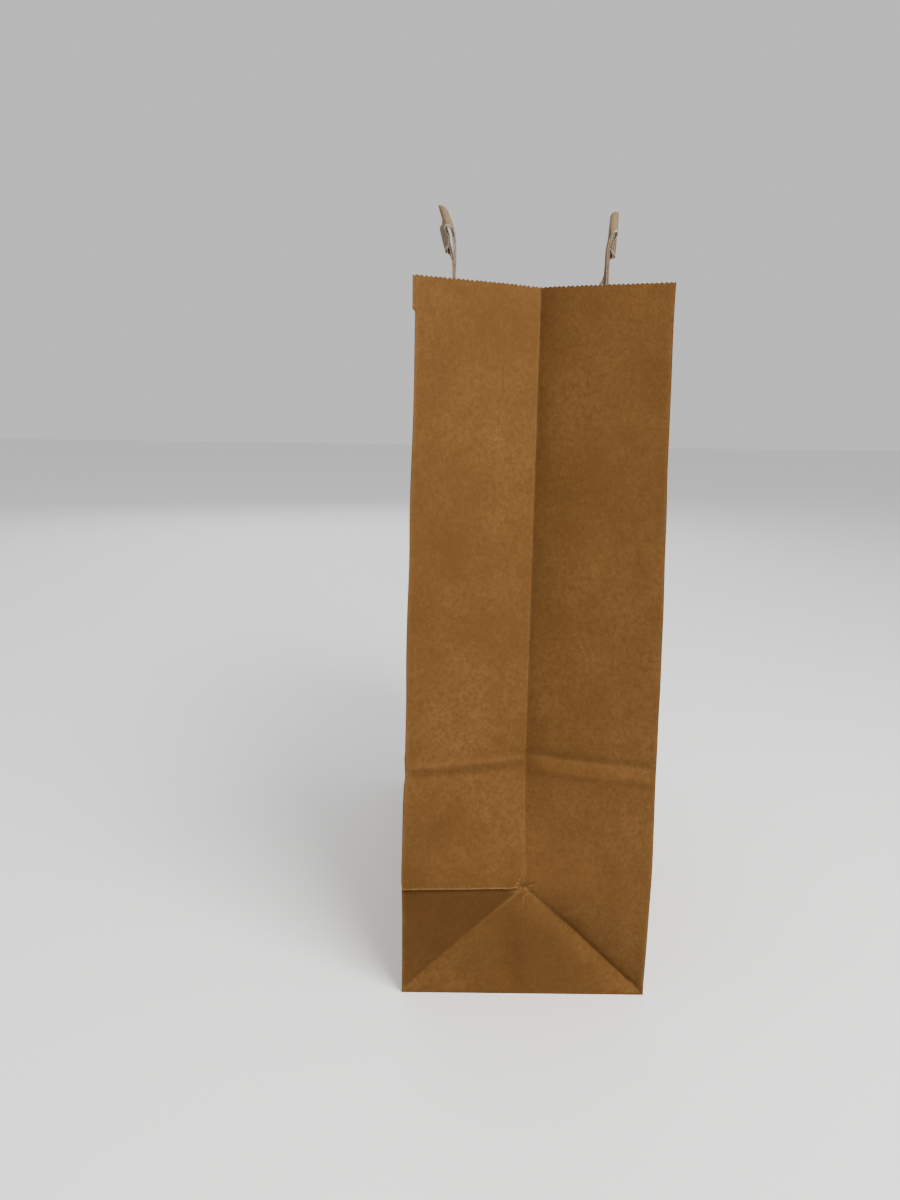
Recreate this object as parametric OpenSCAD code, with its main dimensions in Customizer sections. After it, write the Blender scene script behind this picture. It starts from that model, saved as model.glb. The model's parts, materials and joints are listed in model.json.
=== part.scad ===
// Paper carrier bag with two flat folded-paper handles.
// X runs across the bag, Y from the front wall to the back wall, Z up. The origin is the middle of the base.
// One kraft sheet makes the walls, the side gussets and the base. Every crease that folds is a hinge line,
// so the sheet is drawn as the facets between its creases.

/* [Bag] */
// Width of the front and back walls
bag_w = 320; // [260:10:400]
// Height from the table to the rim
bag_h = 430; // [320:10:480]
// Flat width of one side gusset, from corner crease to corner crease
gusset_w = 150; // [120:5:170]
// Thickness of the kraft paper
paper = 0.2; // [0.15:0.05:0.3]

/* [Opened shape] */
// Lean of each gusset half from flat, in degrees
gusset_lean = 14.5; // [8:0.5:20]
// How far the rim bows inward at the handles
rim_bow = 21; // [0:1:24]

/* [Handles] */
// Distance between the middles of a handle's two legs
leg_gap = 100; // [90:2:110]
// Width of the folded handle strip
strip_w = 15; // [12:1:18]
// Thickness of the folded handle strip
strip_t = 0.8; // [0.6:0.1:1]
// Height of a handle above the rim
handle_h = 62; // [50:1:90]
// Outward lean of the handles, in degrees
handle_lean = 6; // [0:1:10]
// Length of a leg glued below the rim
glued_leg = 40; // [30:1:50]

/* [Patches] */
// Width of the patch that covers the glued legs
patch_w = 130; // [126:2:134]
// Height of the patch
patch_h = 48; // [40:1:60]

/* [Base] */
// How far the outer base flap reaches from the front crease
outer_flap = 105; // [90:1:120]
// How far the inner base flap reaches from the back crease
inner_flap = 80; // [60:1:100]
// Depth of the side tucks inside the base
tuck = 60; // [40:1:60]

/* [Seam] */
// Width of the glued lap that closes the sheet into a tube
lap_w = 25; // [20:1:30]
// Distance from the corner crease to the lap
lap_inset = 4; // [2:1:8]

/* [Hidden] */
half_w = bag_w / 2;
half_gusset = gusset_w / 2;
wall_y = half_gusset * cos(gusset_lean);     // inner face of each wall
valley_in = half_gusset * sin(gusset_lean);  // how far the gusset's middle crease stands in
crease_z = wall_y;                           // height of the foot above the base: half the base's depth
gap = 0.1;                                   // clearance at hinge lines and under the walls
wall_z = 3 * paper + gap;                    // walls start above the three base layers
apex_z = wall_z + crease_z;                  // where the gusset creases meet
bow_start = 150;                             // the walls are flat below this height
bow_flat = patch_w / 2 + 2;                  // the rim is straight over the patch, and bows beyond it
glue_gap = 0.05;                             // between glued faces
bend_gap = 3;                                // height of the bend between the glued legs and the handle
sheet_cols = 32;
sheet_rows = 12;

kraft = "peru";
kraft_inner = "burlywood";
handle_kraft = "tan";

// 0 up to a, 1 from b, and a smooth step between them
function smooth(a, b, v) = let (s = min(1, max(0, (v - a) / (b - a)))) s * s * (3 - 2 * s);
// how far a wall stands inward of its flat plane at height z and distance x from the middle
function bow(x, z) = rim_bow * smooth(half_w, bow_flat, abs(x)) * smooth(bow_start, bag_h, z);

// Copies a front piece to the back of the bag
module to_back() {
    mirror([0, 1, 0]) children();
}

// Copies a left piece to the right side
module to_right() {
    mirror([1, 0, 0]) children();
}

// A bowed wall: a grid of points on its inner face, and the same grid one paper thickness outside
module wall(bottom) {
    cols = [for (i = [0:sheet_cols]) -half_w + bag_w * i / sheet_cols];
    rows = [for (j = [0:sheet_rows]) bottom + (bag_h - bottom) * j / sheet_rows];
    layer = (sheet_cols + 1) * (sheet_rows + 1);
    points = [for (out = [0, paper]) for (z = rows) for (x = cols) [x, -wall_y - out + bow(x, z), z]];
    function at(i, j, k) = k * layer + j * (sheet_cols + 1) + i;
    inner = [for (j = [0:sheet_rows - 1]) for (i = [0:sheet_cols - 1])
        [at(i, j, 0), at(i, j + 1, 0), at(i + 1, j + 1, 0), at(i + 1, j, 0)]];
    outer = [for (j = [0:sheet_rows - 1]) for (i = [0:sheet_cols - 1])
        [at(i, j, 1), at(i + 1, j, 1), at(i + 1, j + 1, 1), at(i, j + 1, 1)]];
    ends = [for (j = [0:sheet_rows - 1]) each [
        [at(0, j, 0), at(0, j, 1), at(0, j + 1, 1), at(0, j + 1, 0)],
        [at(sheet_cols, j, 0), at(sheet_cols, j + 1, 0), at(sheet_cols, j + 1, 1), at(sheet_cols, j, 1)]]];
    rims = [for (i = [0:sheet_cols - 1]) each [
        [at(i, 0, 0), at(i + 1, 0, 0), at(i + 1, 0, 1), at(i, 0, 1)],
        [at(i, sheet_rows, 0), at(i, sheet_rows, 1), at(i + 1, sheet_rows, 1), at(i + 1, sheet_rows, 0)]]];
    polyhedron(points, concat(inner, outer, ends, rims), convexity = 4);
}

// Stands a flat outline on the front half of the left gusset. u runs from the corner crease to the valley
// crease and v runs up. The corner hinge line lies on the inner face and the valley line on the outer face.
module on_left_gusset_front() {
    skew = asin(paper / half_gusset);
    translate([-half_w, -wall_y, 0]) rotate([0, 0, 90 - gusset_lean - skew]) rotate([90, 0, 0])
        translate([0, 0, -paper]) linear_extrude(paper) children();
}

module front_base_flap() {
    color(kraft) translate([-half_w, -wall_y, 0]) cube([bag_w, outer_flap, paper]);
}

module back_base_flap() {
    color(kraft) translate([-half_w, wall_y - inner_flap, paper]) cube([bag_w, inner_flap, paper]);
}

module left_base_tuck() {
    color(kraft_inner) translate([0, 0, 2 * paper]) linear_extrude(paper) polygon([[-half_w, -wall_y],
        [-half_w + tuck, -wall_y + tuck], [-half_w + tuck, wall_y - tuck], [-half_w, wall_y]]);
}

// The side triangle that stands on the base's edge and leans in to the point where the gusset creases meet
module left_foot() {
    color(kraft) translate([-half_w, 0, wall_z]) rotate([0, gusset_lean, 0]) rotate([90, 0, 90])
        linear_extrude(paper)
            polygon([[-wall_y + 1, gap], [wall_y - 1, gap], [0, half_gusset - 1]]);
}

module front_panel() {
    color(kraft) wall(wall_z);
}

module back_panel() {
    color(kraft) to_back() wall(apex_z + gap);
}

module back_seam_lap() {
    lap_top = bow_start;
    color(kraft) translate([-half_w + lap_inset, wall_y + paper, apex_z + gap])
        cube([lap_w, paper, lap_top - apex_z]);
}

module back_panel_foot() {
    color(kraft) translate([-half_w, wall_y, wall_z]) cube([bag_w, paper, crease_z - gap]);
}

// The small corner triangle between the back corner crease, the base's corner and the level crease
module left_back_corner() {
    color(kraft) to_back() on_left_gusset_front()
        polygon([[gap, wall_z + 2], [gap, apex_z - gap], [half_gusset - 2, apex_z - gap]]);
}

// The front half runs down to the diagonal crease of the foot
module left_gusset_front() {
    color(kraft) on_left_gusset_front() polygon([[gap, wall_z + gap], [gap, bag_h],
        [half_gusset - gap, bag_h], [half_gusset - gap, apex_z]]);
}

// The back half stops at the level crease
module left_gusset_back() {
    color(kraft) to_back() on_left_gusset_front() polygon([[gap, apex_z + gap], [gap, bag_h],
        [half_gusset - gap, bag_h], [half_gusset - gap, apex_z + gap]]);
}

module front_handle_ends() {
    for (side = [-1, 1])
        color(handle_kraft) translate([side * leg_gap / 2 - strip_w / 2,
            -wall_y + rim_bow + glue_gap, bag_h - glued_leg]) cube([strip_w, strip_t, glued_leg]);
}

module front_patch() {
    color(kraft_inner) translate([-patch_w / 2, -wall_y + rim_bow + glue_gap + strip_t + glue_gap,
        bag_h - patch_h]) cube([patch_w, paper, patch_h]);
}

// A flat strip bent up, across and down, with a mitred fold at each upper corner
module front_handle() {
    outer_x = leg_gap / 2 + strip_w / 2;
    inner_x = leg_gap / 2 - strip_w / 2;
    fold = strip_w / 2;
    top = handle_h;
    color(handle_kraft)
        translate([0, -wall_y + rim_bow + glue_gap + strip_t / 2, bag_h + bend_gap])
            rotate([handle_lean, 0, 0]) translate([0, strip_t / 2, -bend_gap]) rotate([90, 0, 0])
                linear_extrude(strip_t) polygon([
                    [-outer_x, bend_gap], [-outer_x, top - fold], [-outer_x + fold, top],
                    [outer_x - fold, top], [outer_x, top - fold], [outer_x, bend_gap],
                    [inner_x, bend_gap], [inner_x, top - strip_w], [-inner_x, top - strip_w],
                    [-inner_x, bend_gap]]);
}

front_base_flap();
back_base_flap();
left_base_tuck();
to_right() left_base_tuck();  // right_base_tuck
left_foot();
to_right() left_foot();  // right_foot
front_panel();
back_panel();
back_seam_lap();
back_panel_foot();
left_back_corner();
to_right() left_back_corner();  // right_back_corner
left_gusset_front();
left_gusset_back();
to_right() left_gusset_front();  // right_gusset_front
to_right() left_gusset_back();  // right_gusset_back
front_patch();
to_back() front_patch();  // back_patch
front_handle_ends();
to_back() front_handle_ends();  // back_handle_ends
front_handle();
to_back() front_handle();  // back_handle
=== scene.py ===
"""A kraft paper carrier bag with flat folded handles, built facet by facet around its CAD frame."""
import json
import math

import bmesh
import bpy
import numpy as np
from mathutils import Matrix, Vector, noise


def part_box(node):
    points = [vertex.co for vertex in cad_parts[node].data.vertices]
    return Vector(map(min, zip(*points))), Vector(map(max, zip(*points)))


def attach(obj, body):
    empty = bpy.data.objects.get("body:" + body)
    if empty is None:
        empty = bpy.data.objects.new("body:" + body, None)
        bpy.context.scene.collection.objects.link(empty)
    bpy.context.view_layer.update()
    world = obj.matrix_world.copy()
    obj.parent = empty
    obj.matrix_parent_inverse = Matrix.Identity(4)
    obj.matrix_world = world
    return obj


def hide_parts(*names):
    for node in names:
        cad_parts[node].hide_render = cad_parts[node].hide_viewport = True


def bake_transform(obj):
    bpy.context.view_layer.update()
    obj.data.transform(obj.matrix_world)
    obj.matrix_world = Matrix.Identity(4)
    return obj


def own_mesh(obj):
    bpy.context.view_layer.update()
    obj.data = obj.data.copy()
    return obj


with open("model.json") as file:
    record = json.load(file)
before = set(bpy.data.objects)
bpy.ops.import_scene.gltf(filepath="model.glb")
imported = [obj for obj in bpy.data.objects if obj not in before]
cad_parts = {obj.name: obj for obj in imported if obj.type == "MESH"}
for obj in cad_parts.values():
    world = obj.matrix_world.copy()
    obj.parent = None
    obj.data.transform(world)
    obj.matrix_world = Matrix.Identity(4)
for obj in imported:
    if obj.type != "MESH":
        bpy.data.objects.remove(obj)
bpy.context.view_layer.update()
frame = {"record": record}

MM = 0.001

# ---- sizes, from the frame ----
panel_low, panel_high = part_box("front_panel")
gusset_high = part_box("left_gusset_front")[1]
patch_low, patch_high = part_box("front_patch")
ends_low, ends_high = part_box("front_handle_ends")
loop_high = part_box("front_handle")[1]
lap_low, lap_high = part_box("back_seam_lap")
outer_flap_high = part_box("front_base_flap")[1]
inner_flap_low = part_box("back_base_flap")[0]
tuck_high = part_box("left_base_tuck")[1]
joints = {j["name"]: j for j in frame["record"]["behaviour"]["joints"]}

cad_paper = 0.2 * MM                         # the frame's paper thickness
half_w = panel_high.x                        # half the bag's width
height = panel_high.z                        # rim above the table
wall_y = -panel_low.y                        # outer face of each wall from the middle
valley_in = gusset_high.x + half_w           # how far the valley crease stands in
crease_z = 75 * MM                           # the level crease, and the point where the gusset creases meet
soft_z = 2 * crease_z                        # soft creases pressed by the folded bottom
rim_bow = wall_y + patch_low.y               # how far the walls bow in at the handles
left, right, front, back = -1, 1, -1, 1      # signs of the two ends and the two walls

# ---- the bag's own shape ----
paper = 0.3 * MM                             # drawn thickness of one sheet
half_gusset = math.hypot(valley_in, wall_y - cad_paper)
soft_valley = 15.5 * MM                      # how far the valley stands in at the soft creases
rim_valley = 28.0 * MM                       # and at the rim
drift = 0.6 * MM                             # the rim stands this far towards the front
overhang = 3.0 * MM                          # the level crease pushes the back corner out
bow_skew = 1.0 * MM                          # the front wall bows more on the side of the left gusset
front_swell = 2.0 * MM                       # the front corner creases swell past the half width by this
front_spread = 3.1 * MM                      # and stand out this far to the front low down
rim_pinch = 2.2 * MM                         # and this far in at the rim
corner_lift = 2.0 * MM                       # the rim's back corners stand up by this
tooth_pitch = 1.25 * MM                      # one step of the rim's saw edge
tooth_depth = 1.1 * MM                       # and its deepest cut
foot_fade = 12 * MM                          # waves and wander fade in over this height above the table


# ---- curves and noise ----
def ramp(a, b, v):
    """0 at a, 1 at b and straight between."""
    return np.clip((v - a) / (b - a), 0, 1)


def smooth(a, b, v):
    """As ramp, easing in and out."""
    s = ramp(a, b, v)
    return s * s * (3 - 2 * s)


def bent_ramp(a, b, v, r):
    """0 below a, 1 above b, straight between, with both bends rounded to r."""
    def soft(x):
        return r * np.logaddexp(0, x / r)
    return (soft(v - a) - soft(v - b)) / (b - a)


def bell(v, w):
    """1 at v = 0, falling away over about w on either side."""
    return np.exp(-(v / w) ** 2)


def rough(points, scale, octaves=3, seed=0.0):
    """Fractal noise at each point, about -1 to 1."""
    flat = points.reshape(-1, 3) / scale + seed
    values = [noise.fractal(Vector(p), 0.9, 2.1, octaves) for p in flat]
    return np.array(values).reshape(points.shape[:-1])


def ridged(points, scale, seed=0.0):
    """Sharp-edged low facets, as in handled paper, 0 to about 1."""
    flat = points.reshape(-1, 3) / scale + seed
    values = [abs(noise.noise(Vector(p))) for p in flat]
    return np.array(values).reshape(points.shape[:-1])


# ---- the creased sheet as height fields ----
def valley_depth(z):
    """How far the valley crease stands in: nothing at the foot, and more towards the rim."""
    lower = soft_valley * bent_ramp(crease_z, soft_z, z, 3 * MM)
    return lower + (rim_valley - soft_valley) * ramp(soft_z, height, z)


def corner_depth(z):
    """Distance of the corner creases from the middle: the halves of the gusset keep their width."""
    return np.sqrt(half_gusset ** 2 - valley_depth(z) ** 2) + cad_paper


def rim_drift(z):
    """How far the whole section stands towards the front."""
    return drift * smooth(soft_z, height, z)


def corner_wobble(z, end, wall):
    """A small wander along each corner crease, the same for both facets that share it."""
    column = np.stack([np.full_like(z, end * 3.0), np.full_like(z, wall * 5.0), z / (70 * MM)], -1)
    fade = smooth(0, foot_fade, z)
    below_end = 1 - smooth(crease_z + 8 * MM, crease_z + 24 * MM, z)
    ledge = 0.8 * MM * ramp(crease_z - 0.5 * MM, crease_z, z) * below_end * (wall > 0)
    return 0.7 * MM * rough(column, 1.0, 2) * fade + ledge


def corner_out(z, end, wall):
    """How far a corner crease stands out past the bag's half width."""
    out = corner_wobble(z, end, wall)
    if wall > 0:
        pushed = ramp(0, crease_z, z) * (1 - smooth(crease_z, soft_z + crease_z, z))
        return out + overhang * pushed
    return out + front_swell * smooth(0, soft_z, z) * (1 - smooth(soft_z, height, z))


def corner_y(z, end, wall):
    """Where each corner crease stands; the front ones lean out low down and in at the rim."""
    spread = front_spread * (1 - 0.25 * smooth(crease_z, soft_z, z))
    spread = spread * (1 - smooth(soft_z, height, z)) - rim_pinch * smooth(soft_z, height, z)
    lean_out = spread if wall < 0 else -0.4 * rim_pinch * smooth(soft_z, height, z)
    return wall * (corner_depth(z) + corner_wobble(z + 0.5, end, wall) + lean_out) - rim_drift(z)


def raised(z, t):
    """Heights near the rim, lifted towards a back corner crease, where the paper's edge runs up."""
    return z + corner_lift * t * smooth(height - 120 * MM, height, z)


def soft_creases(z, wall):
    """The shallow pressed band where the folded bottom's edge lay: a step in below it or above it."""
    above = z - soft_z
    to_back = 1.35 * bell(above + 4 * MM, 3.6 * MM) - 0.7 * bell(above - 3.5 * MM, 2.6 * MM)
    to_front = 1.35 * bell(above - 5 * MM, 4 * MM) - 0.9 * bell(above + 3 * MM, 3.2 * MM)
    return MM * np.where(wall > 0, to_back, to_front)


def specks(place):
    """Fine noise that breaks up the pale wear along the creases, about 0 to 1."""
    return 0.5 + 0.5 * rough(place, 3.0 * MM, 2, 5.0)


def corner_wear(distance, speck):
    """Pale fibres along a corner crease, by distance from it."""
    return 0.30 * bell(distance, 1.2 * MM) * speck


def soft_wear(z, speck):
    """Faint pale fibres along the soft crease."""
    return 0.14 * bell(z - soft_z - 4 * MM, 1.5 * MM) * speck


def foot_diagonal(y, z):
    """Distance above the foot's diagonal creases, negative on the foot itself."""
    return (z / crease_z - (1 - np.abs(y) / corner_depth(z))) * crease_z / math.sqrt(2)


def beside_foot(z, wall):
    """Where the paper dips beside the foot's diagonals: mostly towards the front wall."""
    return smooth(0, 0.40, 1 - z / crease_z) * smooth(0, 9 * MM, z) * np.where(wall < 0, 1.0, 0.25)


def above_foot(z):
    """0 on the foot and 1 above the level crease."""
    return smooth(crease_z - 10 * MM, crease_z + 10 * MM, z)


def gusset_relief(place, from_valley, t, wall):
    """How far the upper facets stand out: slow waves, soft creases and a sharper valley.
    t runs 0 at the valley to 1 at the corner crease."""
    z = place[..., 2]
    window = smooth(0, 0.18, 1 - t) * smooth(0, foot_fade, z)
    still = 1 - 0.75 * (1 - smooth(0, 0.12, t)) * above_foot(z)
    waves = 1.1 * MM * rough(place, 95 * MM, 2, 3.1) - 0.5 * MM * ridged(place, 42 * MM, 7.7)
    pressed = soft_creases(z, wall) * smooth(0, 0.08, 1 - t) * (0.35 + 0.65 * smooth(0, 0.2, t))
    tucked = 4.2 * MM * np.exp(-from_valley / (11 * MM)) * smooth(crease_z, soft_z, z)
    return window * still * waves - pressed - tucked


def foot_relief(y, z, t, wall, diagonal, low):
    """How far the foot and the paper beside its diagonal creases stand out, mostly dents."""
    along_crease = 0.7 * MM * bell(diagonal, 2.2 * MM) * low * smooth(0, 8 * MM, z)
    reach_in = np.exp(-np.abs(diagonal) / np.where(diagonal > 0, 16 * MM, 4 * MM))
    dip = 6.0 * MM * beside_foot(z, wall) * reach_in * smooth(0, 0.10, 1 - t)
    on_foot = smooth(0, 8 * MM, -diagonal) * low * smooth(0, 9 * MM, z)
    dents = (3.6 * bell(y - 9 * MM - (z - 25 * MM) * 0.15, 9 * MM) * bell(z - 20 * MM, 21 * MM)
             + 1.4 * bell(y + 14 * MM + (z - 25 * MM) * 0.2, 7 * MM) * bell(z - 30 * MM, 16 * MM)
             + 0.8 * bell(y - 38 * MM, 8 * MM) * bell(z - 12 * MM, 9 * MM))
    return -along_crease - dip - dents * MM * on_foot


def side_wear(place, t, level_crease, diagonal, low, apex, crumple):
    """Pale fibres on the creases of a gusset side, 0 to 1."""
    z = place[..., 2]
    speck = specks(place)
    marks = (0.75 * level_crease * bell(z - crease_z, 0.55 * MM) * (0.35 + 0.8 * speck),
             0.5 * low * bell(diagonal, 0.7 * MM) * speck * smooth(35 * MM, crease_z, z),
             0.85 * bell(apex, 7 * MM) * bell(crumple, 0.05),
             corner_wear((1 - t) * wall_y, speck),
             0.16 * bell(t * wall_y, 0.9 * MM) * speck * above_foot(z),
             soft_wear(z, speck))
    return np.maximum.reduce(marks)


def painted_side_shade(z, from_valley, wall, diagonal):
    """Painted shade: a darker colour on the back corner's triangle, and in bands beside the foot's diagonal
    and beside the valley on the front side.
    """
    # painted shade over the back corner's triangle below the level crease
    triangle = np.where((wall > 0) & (z < crease_z) & (diagonal > 0), 1.0, 0.0)
    triangle = triangle * smooth(0, 2 * MM, crease_z - z) * smooth(0, 2 * MM, diagonal)
    near_foot = smooth(0, 1 * MM, diagonal) * np.exp(-np.maximum(diagonal, 0) / (9 * MM))
    near_valley = smooth(0, 1 * MM, from_valley) * np.exp(-from_valley / (8 * MM))
    # painted shade in bands beside the foot's diagonal and beside the valley, front side only
    bands = 0.30 * beside_foot(z, wall) * near_foot + 0.16 * above_foot(z) * near_valley
    return 0.48 * triangle + np.where(wall < 0, bands, 0.0)


def side_surface(end, y, z, under=False):
    """Points of a gusset side (end -1 left, +1 right), with the paper's wear and its painted shade at each.
    under is for the layer that is tucked below the level crease."""
    middle = -rim_drift(z)
    wall = np.where(y > middle, 1.0, -1.0)
    edge_out = np.where(wall > 0, corner_out(z, end, 1), corner_out(z, end, -1))
    edge_y = np.where(wall > 0, corner_y(z, end, 1), corner_y(z, end, -1))
    span = np.abs(edge_y - middle)
    from_valley = np.abs(y - middle)
    t = np.clip(from_valley / span, 0, 1)
    past_foot = span * (1 - ramp(0, crease_z, z))
    beside = np.clip((from_valley - past_foot) / np.maximum(span - past_foot, 0.1 * MM), 0, 1)
    place = np.stack([np.full_like(y, end * 0.3), y, z], -1)
    diagonal = foot_diagonal(y, z)
    low = 1 - smooth(crease_z, crease_z + 12 * MM, z)
    level_crease = np.where(wall > 0, 1.0, 0.0) * smooth(0, 0.06, t)
    apex = np.hypot(y - middle, z - crease_z)
    crumple = ridged(place, 6.5 * MM, 1.7)
    out = edge_out * beside - valley_depth(z) * (1 - t)
    out = out + gusset_relief(place, from_valley, t, wall) + foot_relief(y, z, t, wall, diagonal, low)
    over_crease = np.where(z >= crease_z, np.exp(-np.abs(z - crease_z) / (9 * MM)), 0.0)
    out = out + 0.9 * MM * level_crease * over_crease
    if under:
        out = out - 0.5 * MM * smooth(crease_z - 4 * MM, crease_z, z)
    out = out + 3.2 * MM * crumple * bell(apex, 9 * MM) - 0.9 * MM * bell(apex, 7 * MM)
    wear_and_highlight = side_wear(place, t, level_crease, diagonal, low, apex, crumple)
    # painted shade, darkening the colour beside the folds
    shade = painted_side_shade(z, from_valley, wall, diagonal)
    points = np.stack([end * (half_w + out), y, raised(z, np.where(wall > 0, t, 0.0))], -1)
    return points, wear_and_highlight, shade


def bow(x, z, wall):
    """How far a wall stands inward of the line between its corner creases."""
    flat_to = patch_high.x + 2 * MM
    skew = bow_skew * np.where(wall < 0, -np.clip(x / (50 * MM), -1, 1), 1.0)
    depth = corner_depth(z) - (wall_y - rim_bow) + skew
    return depth * smooth(half_w, flat_to, np.abs(x)) * smooth(soft_z, height, z)


def wall_surface(wall, a, z):
    """Points of a wall (wall -1 front, +1 back), with the paper's wear at each and no painted shade.
    a runs -1 to 1 between the corner creases."""
    end = np.where(a > 0, 1.0, -1.0)
    out = np.where(a > 0, corner_out(z, 1, wall), corner_out(z, -1, wall))
    blend = smooth(0.72, 1, np.abs(a))
    x = a * half_w + end * out * blend
    edge = np.where(a > 0, corner_y(z, 1, wall), corner_y(z, -1, wall))
    plain = wall * corner_depth(z) - rim_drift(z)
    y = edge * blend + plain * (1 - blend)
    place = np.stack([x, np.full_like(x, wall * 0.2), z], -1)
    window = smooth(0, 0.10, 1 - np.abs(a)) * smooth(0, foot_fade, z)
    stiffened = smooth(height - 90 * MM, height - 40 * MM, z) * (np.abs(x) < patch_high.x + 10 * MM)
    wave = 1.3 * MM * rough(place, 120 * MM, 2, 9.3) - 0.5 * MM * ridged(place, 55 * MM, 2.2)
    inward = bow(x, z, wall) - window * (1 - 0.8 * stiffened) * wave + soft_creases(z, wall) * window
    if wall > 0:
        inward = inward - 0.9 * MM * np.exp(-np.abs(z - crease_z) / (4 * MM)) * window
    speck = specks(place)
    wear_and_highlight = corner_wear((1 - np.abs(a)) * half_w, speck)
    if wall > 0:
        wear_and_highlight = np.maximum(wear_and_highlight, 0.9 * bell(z - crease_z, 0.9 * MM) * (0.4 + 0.6 * speck))
    wear_and_highlight = np.maximum(wear_and_highlight, soft_wear(z, speck))
    lift = smooth(0.55, 1, np.abs(a)) if wall > 0 else 0 * a
    return np.stack([x, y - wall * inward, raised(z, lift)], -1), wear_and_highlight, np.zeros_like(wear_and_highlight)


def teeth(points, seed):
    """Cuts the fine saw edge of the rim into the top of a grid whose rows run up."""
    top = smooth(height - 5 * MM, height, points[..., 2])
    column = np.arange(points.shape[1])
    size = [0.55 + 0.45 * abs(noise.noise(Vector((c * 0.31, seed, 0)))) * 2 for c in column]
    cut = np.where(column % 2 == 0, 0.0, tooth_depth) * np.array(size)
    points[..., 2] = points[..., 2] - top * cut
    return points


# ---- meshes ----
def sheet(name, outer, inner, wear_and_highlight, shade, material):
    """A closed sheet between two grids of points, with its wear (on the handles' run also a painted
    highlight) and its painted shade stored on it.
    """
    rows, cols = outer.shape[:2]
    count = rows * cols
    ids = np.arange(count).reshape(rows, cols)
    a, b, c, d = ids[:-1, :-1], ids[:-1, 1:], ids[1:, 1:], ids[1:, :-1]
    outer_faces = np.stack([a, b, c, d], -1).reshape(-1, 4)
    inner_faces = np.stack([d, c, b, a], -1).reshape(-1, 4) + count
    loop = np.concatenate([ids[0, :], ids[1:, -1], ids[-1, -2::-1], ids[-2:0:-1, 0]])
    after = np.roll(loop, -1)
    border = np.stack([after, loop, loop + count, after + count], -1)
    faces = np.concatenate([outer_faces, inner_faces, border])
    points = np.concatenate([outer.reshape(-1, 3), inner.reshape(-1, 3)])
    mesh = bpy.data.meshes.new(name)
    mesh.from_pydata(points.tolist(), [], faces.tolist())
    # the wear, with a painted highlight on the handles' run edges, and the painted shade go on as
    # attributes
    for key, values in (("wear_and_highlight", wear_and_highlight), ("shade", shade)):
        layer = mesh.attributes.new(key, "FLOAT", "POINT")
        layer.data.foreach_set("value", np.tile(values.ravel(), 2).astype(np.float32))
    work = bmesh.new()
    work.from_mesh(mesh)
    bmesh.ops.remove_doubles(work, verts=work.verts, dist=2e-6)
    bmesh.ops.dissolve_degenerate(work, edges=work.edges, dist=1e-7)
    bmesh.ops.recalc_face_normals(work, faces=work.faces)
    work.to_mesh(mesh)
    work.free()
    mesh.shade_smooth()
    mesh.set_sharp_from_angle(angle=math.radians(35))
    mesh.materials.append(material)
    piece = bpy.data.objects.new(name, mesh)
    bpy.context.scene.collection.objects.link(piece)
    return piece


def rows_between(low, high, step, extra=()):
    """Heights from low to high, a step apart and closer together around each height in extra."""
    fine, closest = 0.7 * MM, 0.5 * MM
    values = list(np.linspace(low, high, max(2, int(round((high - low) / step)) + 1)))
    for z in extra:
        values += [z + k * fine for k in range(-9, 10) if low < z + k * fine < high]
    values = sorted(values)
    kept = [values[0]]
    for v in values[1:-1]:
        if v - kept[-1] > closest and values[-1] - v > closest:
            kept.append(v)
    return np.array(kept + [values[-1]])


crease_rows = (crease_z, soft_z - 5 * MM, soft_z + 4 * MM, height - 18 * MM)


# ---- materials ----
def tinted(colour, by):
    """The colour with each channel multiplied, and none above 1."""
    return tuple(min(1, c * k) for c, k in zip(colour, by))


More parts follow.
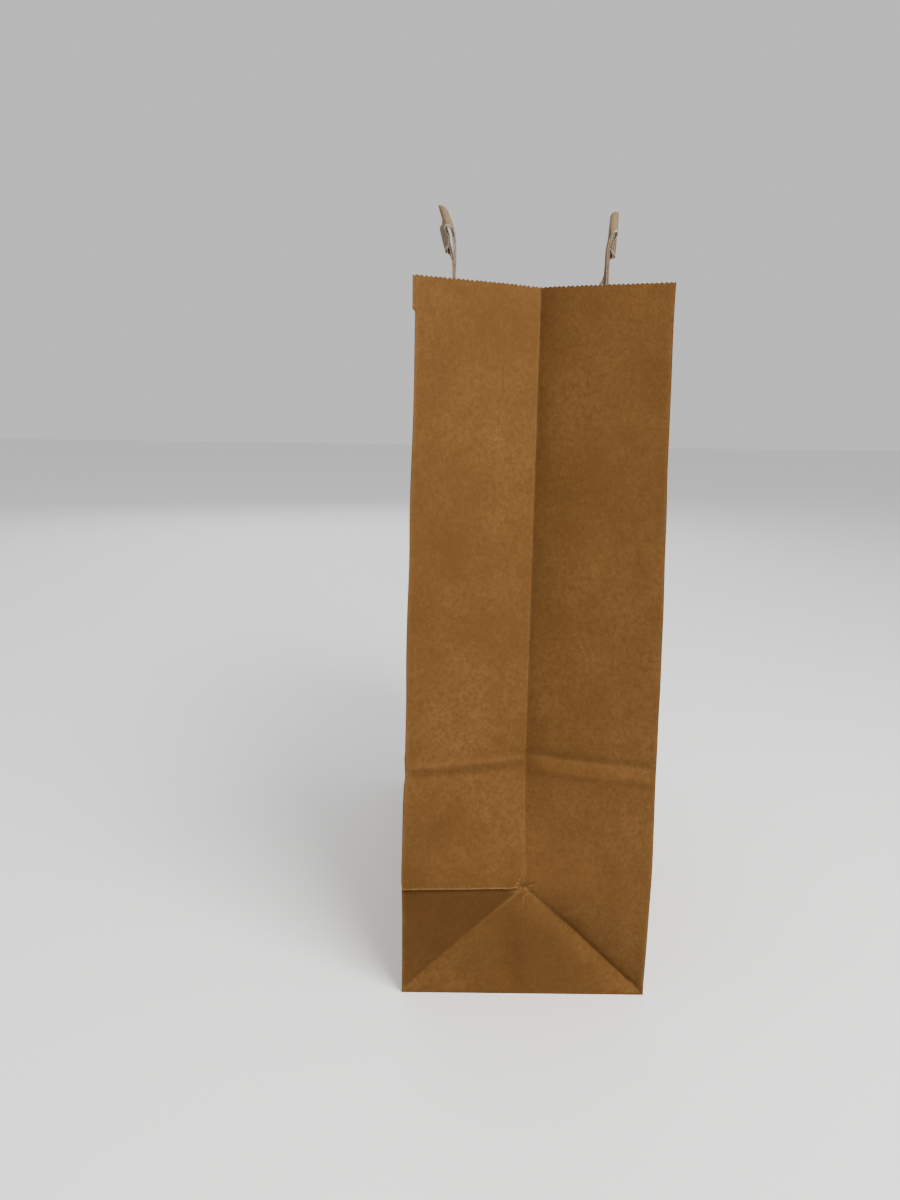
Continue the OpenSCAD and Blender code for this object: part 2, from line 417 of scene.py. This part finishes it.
def paper_material(name, base, dark, pale, roughness, fibre=1.0):
    """Brown paper: cloudy tone, fibres, light and dark flecks, pale wear on creases and edges (on the
    handles' run also a painted highlight), painted shade beside the folds and a fine rough surface.
    """
    material = bpy.data.materials.new(name)
    material.use_nodes = True
    nodes, links = material.node_tree.nodes, material.node_tree.links
    shader = nodes["Principled BSDF"]
    shader.inputs["Specular IOR Level"].default_value = 0.14
    place = nodes.new("ShaderNodeTexCoord").outputs["Object"]

    def stretched(scale, stretch):
        mapping = nodes.new("ShaderNodeMapping")
        mapping.inputs["Scale"].default_value = (scale * stretch[0], scale * stretch[1], scale * stretch[2])
        links.new(place, mapping.inputs["Vector"])
        return mapping.outputs["Vector"]

    def noise_of(scale, stretch=(1, 1, 1), detail=4.0, rough_by=0.6):
        node = nodes.new("ShaderNodeTexNoise")
        node.inputs["Scale"].default_value = 1.0
        node.inputs["Detail"].default_value = detail
        node.inputs["Roughness"].default_value = rough_by
        links.new(stretched(scale, stretch), node.inputs["Vector"])
        return node.outputs["Fac"]

    def level(source, low, high, to_low=0.0, to_high=1.0):
        node = nodes.new("ShaderNodeMapRange")
        for key, value in (("From Min", low), ("From Max", high), ("To Min", to_low), ("To Max", to_high)):
            node.inputs[key].default_value = value
        links.new(source, node.inputs["Value"])
        return node.outputs["Result"]

    def mix(share, first, second):
        node = nodes.new("ShaderNodeMix")
        node.data_type = "RGBA"
        sockets = {s.identifier: s for s in node.inputs}
        for socket, value in (("Factor_Float", share), ("A_Color", first), ("B_Color", second)):
            if isinstance(value, (tuple, float)):
                sockets[socket].default_value = value if isinstance(value, float) else (*value, 1)
            else:
                links.new(value, sockets[socket])
        return next(s for s in node.outputs if s.identifier == "Result_Color")

    def math_of(kind, first, second):
        node = nodes.new("ShaderNodeMath")
        node.operation = kind
        for socket, value in zip(node.inputs, (first, second)):
            if isinstance(value, float):
                socket.default_value = value
            else:
                links.new(value, socket)
        return node.outputs[0]

    def stored(key):
        node = nodes.new("ShaderNodeAttribute")
        node.attribute_name = key
        return node.outputs["Fac"]

    cloud = noise_of(16, detail=3.0)
    mottle = noise_of(330, detail=6.0, rough_by=0.75)
    blotch = noise_of(75, detail=4.0, rough_by=0.65)
    fibres = noise_of(1100, (1, 1, 0.4), detail=3.0)
    cross = noise_of(1300, (0.4, 0.4, 1.0), detail=2.0)
    flecks = noise_of(700, (1, 1, 0.35), detail=2.0)
    colour = mix(level(cloud, 0.3, 0.7), base, dark)
    colour = mix(level(blotch, 0.48, 0.72, 0.0, 0.55), colour, dark)
    colour = mix(level(mottle, 0.42, 0.62, 0.0, 0.75), colour, dark)
    colour = mix(level(fibres, 0.56, 0.74, 0.0, 0.14 * fibre), colour, pale)
    colour = mix(level(cross, 0.60, 0.78, 0.0, 0.10 * fibre), colour, pale)
    colour = mix(level(flecks, 0.68, 0.76, 0.0, 0.35), colour, tinted(dark, (0.45, 0.4, 0.4)))
    # painted shade: the stored shade darkens the colour towards a deep brown
    colour = mix(stored("shade"), colour, tinted(dark, (0.55, 0.46, 0.18)))
    # pale wear on creases and edges, which on the handles' run is also a painted highlight
    edge_noise = level(noise_of(800, detail=4.0), 0.35, 0.65, 0.35, 1.15)
    colour = mix(math_of("MULTIPLY", stored("wear_and_highlight"), edge_noise), colour, tinted(pale, (1.25, 1.3, 1.45)))
    links.new(colour, shader.inputs["Base Color"])
    links.new(level(mottle, 0.3, 0.7, roughness - 0.05, roughness + 0.05), shader.inputs["Roughness"])
    relief = math_of("ADD", math_of("MULTIPLY", fibres, 0.5), math_of("MULTIPLY", mottle, 0.8))
    relief = math_of("ADD", relief, math_of("MULTIPLY", noise_of(150, detail=2.0), 1.2))
    bump = nodes.new("ShaderNodeBump")
    bump.inputs["Strength"].default_value = 0.55
    bump.inputs["Distance"].default_value = 0.25 * MM
    links.new(relief, bump.inputs["Height"])
    links.new(bump.outputs["Normal"], shader.inputs["Normal"])
    return material


kraft = paper_material("kraft", base=(0.130, 0.0612, 0.0164), dark=(0.087, 0.0374, 0.0073),
                       pale=(0.27, 0.145, 0.050), roughness=0.86)
patch_kraft = paper_material("patch_kraft", base=(0.21, 0.10, 0.03), dark=(0.17, 0.076, 0.02),
                             pale=(0.30, 0.17, 0.07), roughness=0.86)
handle_kraft = paper_material("handle_kraft", base=(0.155, 0.100, 0.054), dark=(0.105, 0.064, 0.033),
                              pale=(0.46, 0.37, 0.25), roughness=0.82, fibre=0.8)


# ---- walls, gussets and foot ----
wall_cols = int(half_w / tooth_pitch) * 2 + 1
side_cols = int(wall_y / tooth_pitch / 2) * 2 + 1
foot_cols = 31
row_step = 7 * MM                            # the rows of points are this far apart away from creases


def made_wall(name, wall, low, high, body, *nodes):
    """A wall from low to high, riding body in place of its CAD nodes."""
    z = rows_between(low, high, row_step, crease_rows)
    a = np.linspace(-1, 1, wall_cols)
    grid_a, grid_z = np.meshgrid(a, z)
    outer, wear_and_highlight, shade = wall_surface(wall, grid_a, grid_z)
    if high == height:
        outer = teeth(outer, 3.0 + wall)
    inner = outer.copy()
    inner[..., 1] -= wall * paper
    if wall < 0:
        outer, inner = outer[:, ::-1], inner[:, ::-1]
        wear_and_highlight, shade = wear_and_highlight[:, ::-1], shade[:, ::-1]
    piece = sheet(name, outer, inner, wear_and_highlight, shade, kraft)
    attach(piece, body)
    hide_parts(*nodes)


made_wall("front_wall", front, 0.0, height, "front", "front_panel")
made_wall("back_wall", back, crease_z, height, "back", "back_panel")
made_wall("back_wall_foot", back, 0.0, crease_z, "back", "back_panel_foot")


def side_piece(name, end, low, high, edges, cols, body, cad_node, under=False):
    """One facet of a gusset side. edges(z) gives the facet's two y limits at each height."""
    z = rows_between(low, high, row_step, crease_rows)
    first, last = edges(z)
    share = np.linspace(0, 1, cols)
    y = first[:, None] * (1 - share) + last[:, None] * share
    grid_z = np.repeat(z[:, None], cols, 1)
    outer, wear_and_highlight, shade = side_surface(end, y, grid_z, under)
    if high == height:
        outer = teeth(outer, 11.0 + end + (4.0 if "back" in name else 0.0))
    inner = outer.copy()
    inner[..., 0] -= end * paper
    piece = sheet(name, outer, inner, wear_and_highlight, shade, kraft)
    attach(piece, body)
    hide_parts(cad_node)
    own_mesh(piece)


def diagonal_y(z, end, wall):
    """Where the foot's diagonal crease runs at each height below the apex."""
    share = ramp(0, crease_z, z)
    return corner_y(z, end, wall) * (1 - share) - rim_drift(z) * share


def made_side(end, word):
    """The facets of one gusset side, each on the body of the gusset half that it belongs to."""
    front_body, back_body = f"{word}_gusset_front", f"{word}_gusset_back"
    tab = 1.6 * MM if end == left else 0.0   # the corner's edge stands loose at the rim
    tab_low, tab_high = height - 18.6 * MM, height - 17.6 * MM

    def front_limits(z):
        return corner_y(z, end, front), np.where(z < crease_z, diagonal_y(z, end, front), -rim_drift(z))

    def back_limits(z):
        return -rim_drift(z), corner_y(z, end, back) + tab * ramp(tab_low, tab_high, z)

    def corner_limits(z):
        return diagonal_y(z, end, back), corner_y(z, end, back)

    def foot_front_limits(z):
        return diagonal_y(z, end, front), 0 * z

    def foot_back_limits(z):
        return 0 * z, diagonal_y(z, end, back)

    side_piece(f"{word}_gusset_front_half", end, 0.0, height, front_limits, side_cols, front_body,
               f"{word}_gusset_front")
    side_piece(f"{word}_gusset_back_half", end, crease_z, height, back_limits, side_cols, back_body,
               f"{word}_gusset_back")
    side_piece(f"{word}_back_corner_fold", end, 0.0, crease_z + 1.2 * MM, corner_limits, foot_cols,
               back_body, f"{word}_back_corner", under=True)
    side_piece(f"{word}_foot_front_half", end, 0.0, crease_z, foot_front_limits, foot_cols, front_body,
               f"{word}_foot")
    side_piece(f"{word}_foot_back_half", end, 0.0, crease_z, foot_back_limits, foot_cols, back_body,
               f"{word}_foot")


made_side(left, "left")
made_side(right, "right")


# ---- base ----
base_y = half_gusset + cad_paper
layer_z = 0.45 * MM                          # each layer of the base lies this far above the last


def base_piece(name, outline, z, cad_node, seed):
    """A flat layer of the base between two rows of points, a little uneven on top."""
    first, last = outline
    along = np.linspace(0, 1, 81)
    rows = []
    for s in np.linspace(0, 1, 31):
        start = np.array(first[0]) * (1 - s) + np.array(last[0]) * s
        stop = np.array(first[1]) * (1 - s) + np.array(last[1]) * s
        rows.append(start[None, :] * (1 - along[:, None]) + stop[None, :] * along[:, None])
    grid = np.array(rows)
    lift = np.full(grid.shape[:2], z)
    under = np.stack([grid[..., 0], grid[..., 1], lift], -1)
    wave = 0.12 * MM * (1 + rough(under, 30 * MM, 2, seed))
    top = under.copy()
    top[..., 2] += 0.15 * MM + wave
    none = np.zeros(grid.shape[:2])
    piece = sheet(name, top, under, none + 0.04, none, kraft)
    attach(piece, "front")
    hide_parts(cad_node)
    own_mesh(piece)


inset = 12 * MM                              # the flaps' free edges are this much shorter at each end
front_y = -base_y - front_spread
base_piece("outer_base_flap", (((-half_w, front_y), (half_w, front_y)),
                               ((-half_w + inset, outer_flap_high.y), (half_w - inset, outer_flap_high.y))),
           0.0, "front_base_flap", 1.0)
base_piece("inner_base_flap", (((-half_w + inset, inner_flap_low.y), (half_w - inset, inner_flap_low.y)),
                               ((-half_w, base_y), (half_w, base_y))),
           layer_z, "back_base_flap", 4.0)
reach = half_w + tuck_high.x
for end, word in ((left, "left"), (right, "right")):
    ends = (((end * half_w, front_y), (end * half_w, base_y)),
            ((end * (half_w - reach), front_y + reach), (end * (half_w - reach), base_y - reach)))
    base_piece(f"{word}_base_tuck_sheet", ends, 2 * layer_z, f"{word}_base_tuck", 6.0 + end)


# ---- glued lap on the back wall ----
def made_lap():
    """The sheet's glued edge, standing a little loose at the rim."""
    z = rows_between(crease_z + 1 * MM, height - 0.4 * MM, 6 * MM, (soft_z,))
    a = np.linspace(lap_low.x / half_w, lap_high.x / half_w, 21)
    grid_a, grid_z = np.meshgrid(a, z)
    under, wear_and_highlight, shade = wall_surface(back, grid_a, grid_z)
    across = (grid_a - a[0]) / (a[-1] - a[0])
    loose = smooth(height - 20 * MM, height - 12 * MM, grid_z) * (1 - smooth(0, 0.45, across))
    under[..., 1] += 0.05 * MM + 0.5 * MM * loose
    over = under.copy()
    over[..., 1] += paper
    wear_and_highlight = wear_and_highlight + 0.12 * bell((grid_a - a[-1]) * half_w, 1 * MM)
    lap = sheet("glued_seam_lap", over, under, wear_and_highlight, shade, kraft)
    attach(lap, "back")
    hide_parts("back_seam_lap")


made_lap()


# ---- handles and their patches ----
glued = ends_high.z - ends_low.z             # length of each leg that is glued in
strip_w = 15 * MM                            # width of the flat paper strip
leg_x = ends_high.x - strip_w / 2            # middle of each leg from the middle of the bag
hinge = Vector(joints["front_handle_swing"]["pos_m"])   # the back handle's hinge mirrors it
cad_lean = math.radians(6)                   # the frame's handles lean out by this
rise = (loop_high.z - hinge.z) / math.cos(cad_lean)   # hinge to the top edge, along the handle
roll_r = 1.8 * MM                            # radius of the roll at each corner
strip_gap = 0.45 * MM                        # the strips' middle lies this far behind the wall's paper
# how far each ply's two faces stand from the strip's own middle
plies = {"inner_ply": (-0.95 * MM, -0.12 * MM), "outer_ply": (0.16 * MM, 0.95 * MM)}


def strip_point(q, s, off, turn):
    """A point of a strip that runs up a leg, rolls over a 45 degree fold and runs across.
    q crosses the strip, s runs along it, off is the ply's offset and turn the height of the fold."""
    along = (q + (s - turn)) / math.sqrt(2)
    beyond = ((s - turn) - q) / math.sqrt(2)
    half = math.pi * roll_r / 2
    angle = np.clip((beyond + half) / roll_r, 0, math.pi)
    flat = np.where(beyond < -half, beyond, np.where(beyond > half, -beyond, -half))
    across = flat + np.where(np.abs(beyond) <= half, (roll_r + off) * np.sin(angle), 0)
    depth = roll_r - (roll_r + off) * np.cos(angle)
    return (along - across) / math.sqrt(2), turn + (along + across) / math.sqrt(2), depth


def strip_rows(turn):
    """Distances along a strip, from its glued end to the middle of the run, closest at the fold."""
    bend = 8.5 * MM
    return np.concatenate([np.linspace(-glued, 12 * MM, 14), np.linspace(14 * MM, turn - 9 * MM, 8),
                           np.linspace(turn - bend, turn + bend, 40),
                           np.linspace(turn + 10 * MM, turn + leg_x, 12)])


def ply_face(grid_q, grid_s, off, turn, end, wall, outer_ply, shape):
    """One face of a ply: its place in the strip, then the leg's own leaning and bending."""
    inward, tilt, bend_h, twist, jog = shape
    x, h, depth = strip_point(grid_q, grid_s, off, turn)
    past = ((grid_s - turn) - grid_q) > 0
    closing = np.where(past, 1 - 0.55 * smooth(4 * MM, 34 * MM, x), 1.0)
    open_up = 0.0
    if outer_ply:
        droop = np.clip((turn + strip_w / 2 - h) / strip_w, 0, 1)
        open_up = 0.5 * MM * past * droop ** 2 * bell(x - 9 * MM, 16 * MM)
    x_row = end * (leg_x - x)
    thin = 0.35 + 0.65 * smooth(-1 * MM, 6 * MM, h)   # pressed flat where it is glued in
    out = depth * closing * thin + open_up
    bend = (inward + tilt) * np.logaddexp(0, (h - bend_h) / (4 * MM)) * 4 * MM
    wander = 0.5 * MM * rough(np.stack([x_row, h, 0 * h + wall], -1), 38 * MM, 2, 4.4)
    far = twist * ramp(-leg_x, leg_x, x_row) * smooth(0, 30 * MM, h)
    far = far + jog * ramp(leg_x, -0.2 * leg_x, x_row) * smooth(bend_h, bend_h + 9 * MM, h)
    at_rim = np.minimum(hinge.z + h, height)
    wall_face = wall_surface(wall, x_row / half_w, at_rim)[0][..., 1]
    behind_wall = wall_face - wall * (paper + strip_gap)
    free = smooth(0, 12 * MM, h)
    y = behind_wall + wall * (out + (bend + wander + far) * free - inward * np.maximum(h, 0))
    return np.stack([x_row, y, hinge.z + h], -1)


def half_ply(word, wall, ply, end, turn, shape):
    """One leg of a ply and half of its run."""
    width = strip_w / 2 - (0.4 * MM if ply == "inner_ply" else 0.0)
    grid_q, grid_s = np.meshgrid(np.linspace(-width, width, 17), strip_rows(turn))
    edge_place = np.stack([grid_s, 0 * grid_s + end, 0 * grid_s + wall], -1)
    grid_q = grid_q + 0.35 * MM * rough(edge_place, 6 * MM, 2, 8.0) * np.abs(grid_q) / width
    low, high = (ply_face(grid_q, grid_s, off, turn, end, wall, ply == "outer_ply", shape)
                 for off in plies[ply])
    if (wall > 0) != (end > 0):
        low, high = high, low
    on_run = smooth(-2 * MM, 3 * MM, (grid_s - turn) - grid_q)
    # paler along the strip's edges: a little wear on the legs, and along the run a painted highlight on the
    # lit edges as well as wear
    wear_and_highlight = (0.10 + 0.85 * on_run) * bell(np.abs(grid_q) - width, 0.6 * MM) + 0.05
    return sheet(f"{word}_{ply}_{end}", high, low, wear_and_highlight, 0 * wear_and_highlight, handle_kraft)


def made_handle(word, wall, lower, inward, tilt, bend_h, twist, jog):
    """Both legs and the top run of one handle, in two plies. The run sits lower than the frame's by lower.
    The legs lean in by inward, then out by tilt above bend_h, and the right leg stands further out by
    twist. The left leg steps out by jog above bend_h."""
    turn = rise - strip_w / 2 - lower
    shape = (inward, tilt, bend_h, twist, jog)
    for ply in plies:
        joined = [half_ply(word, wall, ply, end, turn, shape) for end in (left, right)]
        bpy.ops.object.select_all(action="DESELECT")
        for o in joined:
            o.select_set(True)
        bpy.context.view_layer.objects.active = joined[0]
        bpy.ops.object.join()
        whole = joined[0]
        whole.name = f"{word}_handle_{ply}"
        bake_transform(whole)
        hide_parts(f"{word}_handle", f"{word}_handle_ends")


def made_patch(word, wall):
    """The paper patch glued over the handle's legs on the inside, following their thickness."""
    z = rows_between(patch_low.z, height - 0.5 * MM, 2 * MM)
    x = np.linspace(patch_low.x, patch_high.x, 105)
    grid_x, grid_z = np.meshgrid(x, z)
    surface = wall_surface(wall, grid_x / half_w, grid_z)[0]
    off_leg = np.abs(np.abs(grid_x) - leg_x)
    leg_here = 1 - smooth(strip_w / 2, strip_w / 2 + 3 * MM, off_leg)
    leg_here = leg_here * smooth(height - glued - 3 * MM, height - glued, grid_z)
    outer = surface.copy()
    outer[..., 1] -= wall * (paper + 0.1 * MM + 1.5 * MM * leg_here)
    inner = outer.copy()
    inner[..., 1] -= wall * paper
    if wall < 0:
        outer, inner = outer[:, ::-1], inner[:, ::-1]
    none = np.zeros_like(grid_x)
    from_edge = np.minimum(np.minimum(grid_x - x[0], x[-1] - grid_x), grid_z - z[0])
    wear_and_highlight = 0.25 * bell(from_edge, 0.8 * MM)
    piece = sheet(f"{word}_handle_patch", outer, inner, wear_and_highlight, none, patch_kraft)
    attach(piece, word)
    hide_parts(f"{word}_patch")


made_handle("front", front, lower=5.5 * MM, inward=0.02, tilt=0.06, bend_h=28 * MM, twist=16 * MM,
            jog=1.0 * MM)
made_handle("back", back, lower=3.5 * MM, inward=0.035, tilt=0.34, bend_h=34 * MM, twist=0.5 * MM,
            jog=0.0)
made_patch("front", front)
made_patch("back", back)


# ---- camera ----
def look(position, heading, pitch, roll, lens):
    """heading turns the view left of +X, pitch tips it up and roll tilts the picture, in degrees."""
    a, p, r = (math.radians(v) for v in (heading, pitch, roll))
    ahead = Vector((math.cos(a) * math.cos(p), math.sin(a) * math.cos(p), math.sin(p)))
    side = Vector((math.sin(a), -math.cos(a), 0))
    up = side.cross(ahead)
    across = math.cos(r) * side - math.sin(r) * up
    above = math.sin(r) * side + math.cos(r) * up
    data = bpy.data.cameras.new("camera")
    data.lens = lens
    data.sensor_width = 36
    camera = bpy.data.objects.new("camera", data)
    axes = Matrix((across, above, -ahead)).transposed().to_4x4()
    camera.matrix_world = Matrix.Translation(position) @ axes
    bpy.context.scene.collection.objects.link(camera)
    bpy.context.scene.camera = camera


look(Vector((-0.6481, 0.0500, 0.3710)), heading=-0.22, pitch=-13.19, roll=-0.81, lens=26.4)


# ---- floor and light ----
def made_stage():
    """A pale flat floor that reaches far behind the bag."""
    material = bpy.data.materials.new("stage")
    material.use_nodes = True
    nodes, links = material.node_tree.nodes, material.node_tree.links
    grain = nodes.new("ShaderNodeTexNoise")
    grain.inputs["Scale"].default_value = 3.0
    tone = nodes.new("ShaderNodeValToRGB")
    tone.color_ramp.elements[0].color = (0.87, 0.867, 0.86, 1)
    tone.color_ramp.elements[1].color = (0.90, 0.897, 0.89, 1)
    links.new(grain.outputs["Fac"], tone.inputs["Fac"])
    links.new(tone.outputs["Color"], nodes["Principled BSDF"].inputs["Base Color"])
    nodes["Principled BSDF"].inputs["Roughness"].default_value = 0.9
    mesh = bpy.data.meshes.new("floor")
    reach_out = 6.0
    corners = [(x * reach_out, y * reach_out, 0) for x, y in ((-1, -1), (1, -1), (1, 1), (-1, 1))]
    mesh.from_pydata(corners, [], [(0, 1, 2, 3)])
    mesh.materials.append(material)
    floor = bpy.data.objects.new("floor", mesh)
    bpy.context.scene.collection.objects.link(floor)


def area_light(name, position, target, size, power, colour):
    """A rectangular light at position that faces target, with power in watts."""
    data = bpy.data.lights.new(name, "AREA")
    data.shape = "RECTANGLE"
    data.size, data.size_y = size
    data.energy = power
    data.color = colour
    light = bpy.data.objects.new(name, data)
    light.location = position
    light.rotation_euler = (Vector(target) - Vector(position)).to_track_quat("-Z", "Y").to_euler()
    bpy.context.scene.collection.objects.link(light)


made_stage()
bag_middle = (0, 0, height / 2)
upper_side = (-0.1, 0, 0.40)
area_light("key", (-0.66, -0.40, 1.08), upper_side, (0.55, 0.55), 24, (1.0, 0.985, 0.96))
area_light("fill", (-1.8, 1.6, 0.9), bag_middle, (1.6, 1.6), 3, (0.96, 0.98, 1.0))
area_light("top", (0.2, 0.1, 1.9), bag_middle, (2.0, 2.0), 11, (1.0, 1.0, 1.0))
area_light("back", (1.8, 0.4, 1.2), bag_middle, (1.5, 1.5), 14, (1.0, 1.0, 1.0))
world = bpy.data.worlds.new("world")
world.use_nodes = True
world.node_tree.nodes["Background"].inputs["Color"].default_value = (1, 1, 1, 1)
world.node_tree.nodes["Background"].inputs["Strength"].default_value = 0.70
bpy.context.scene.world = world
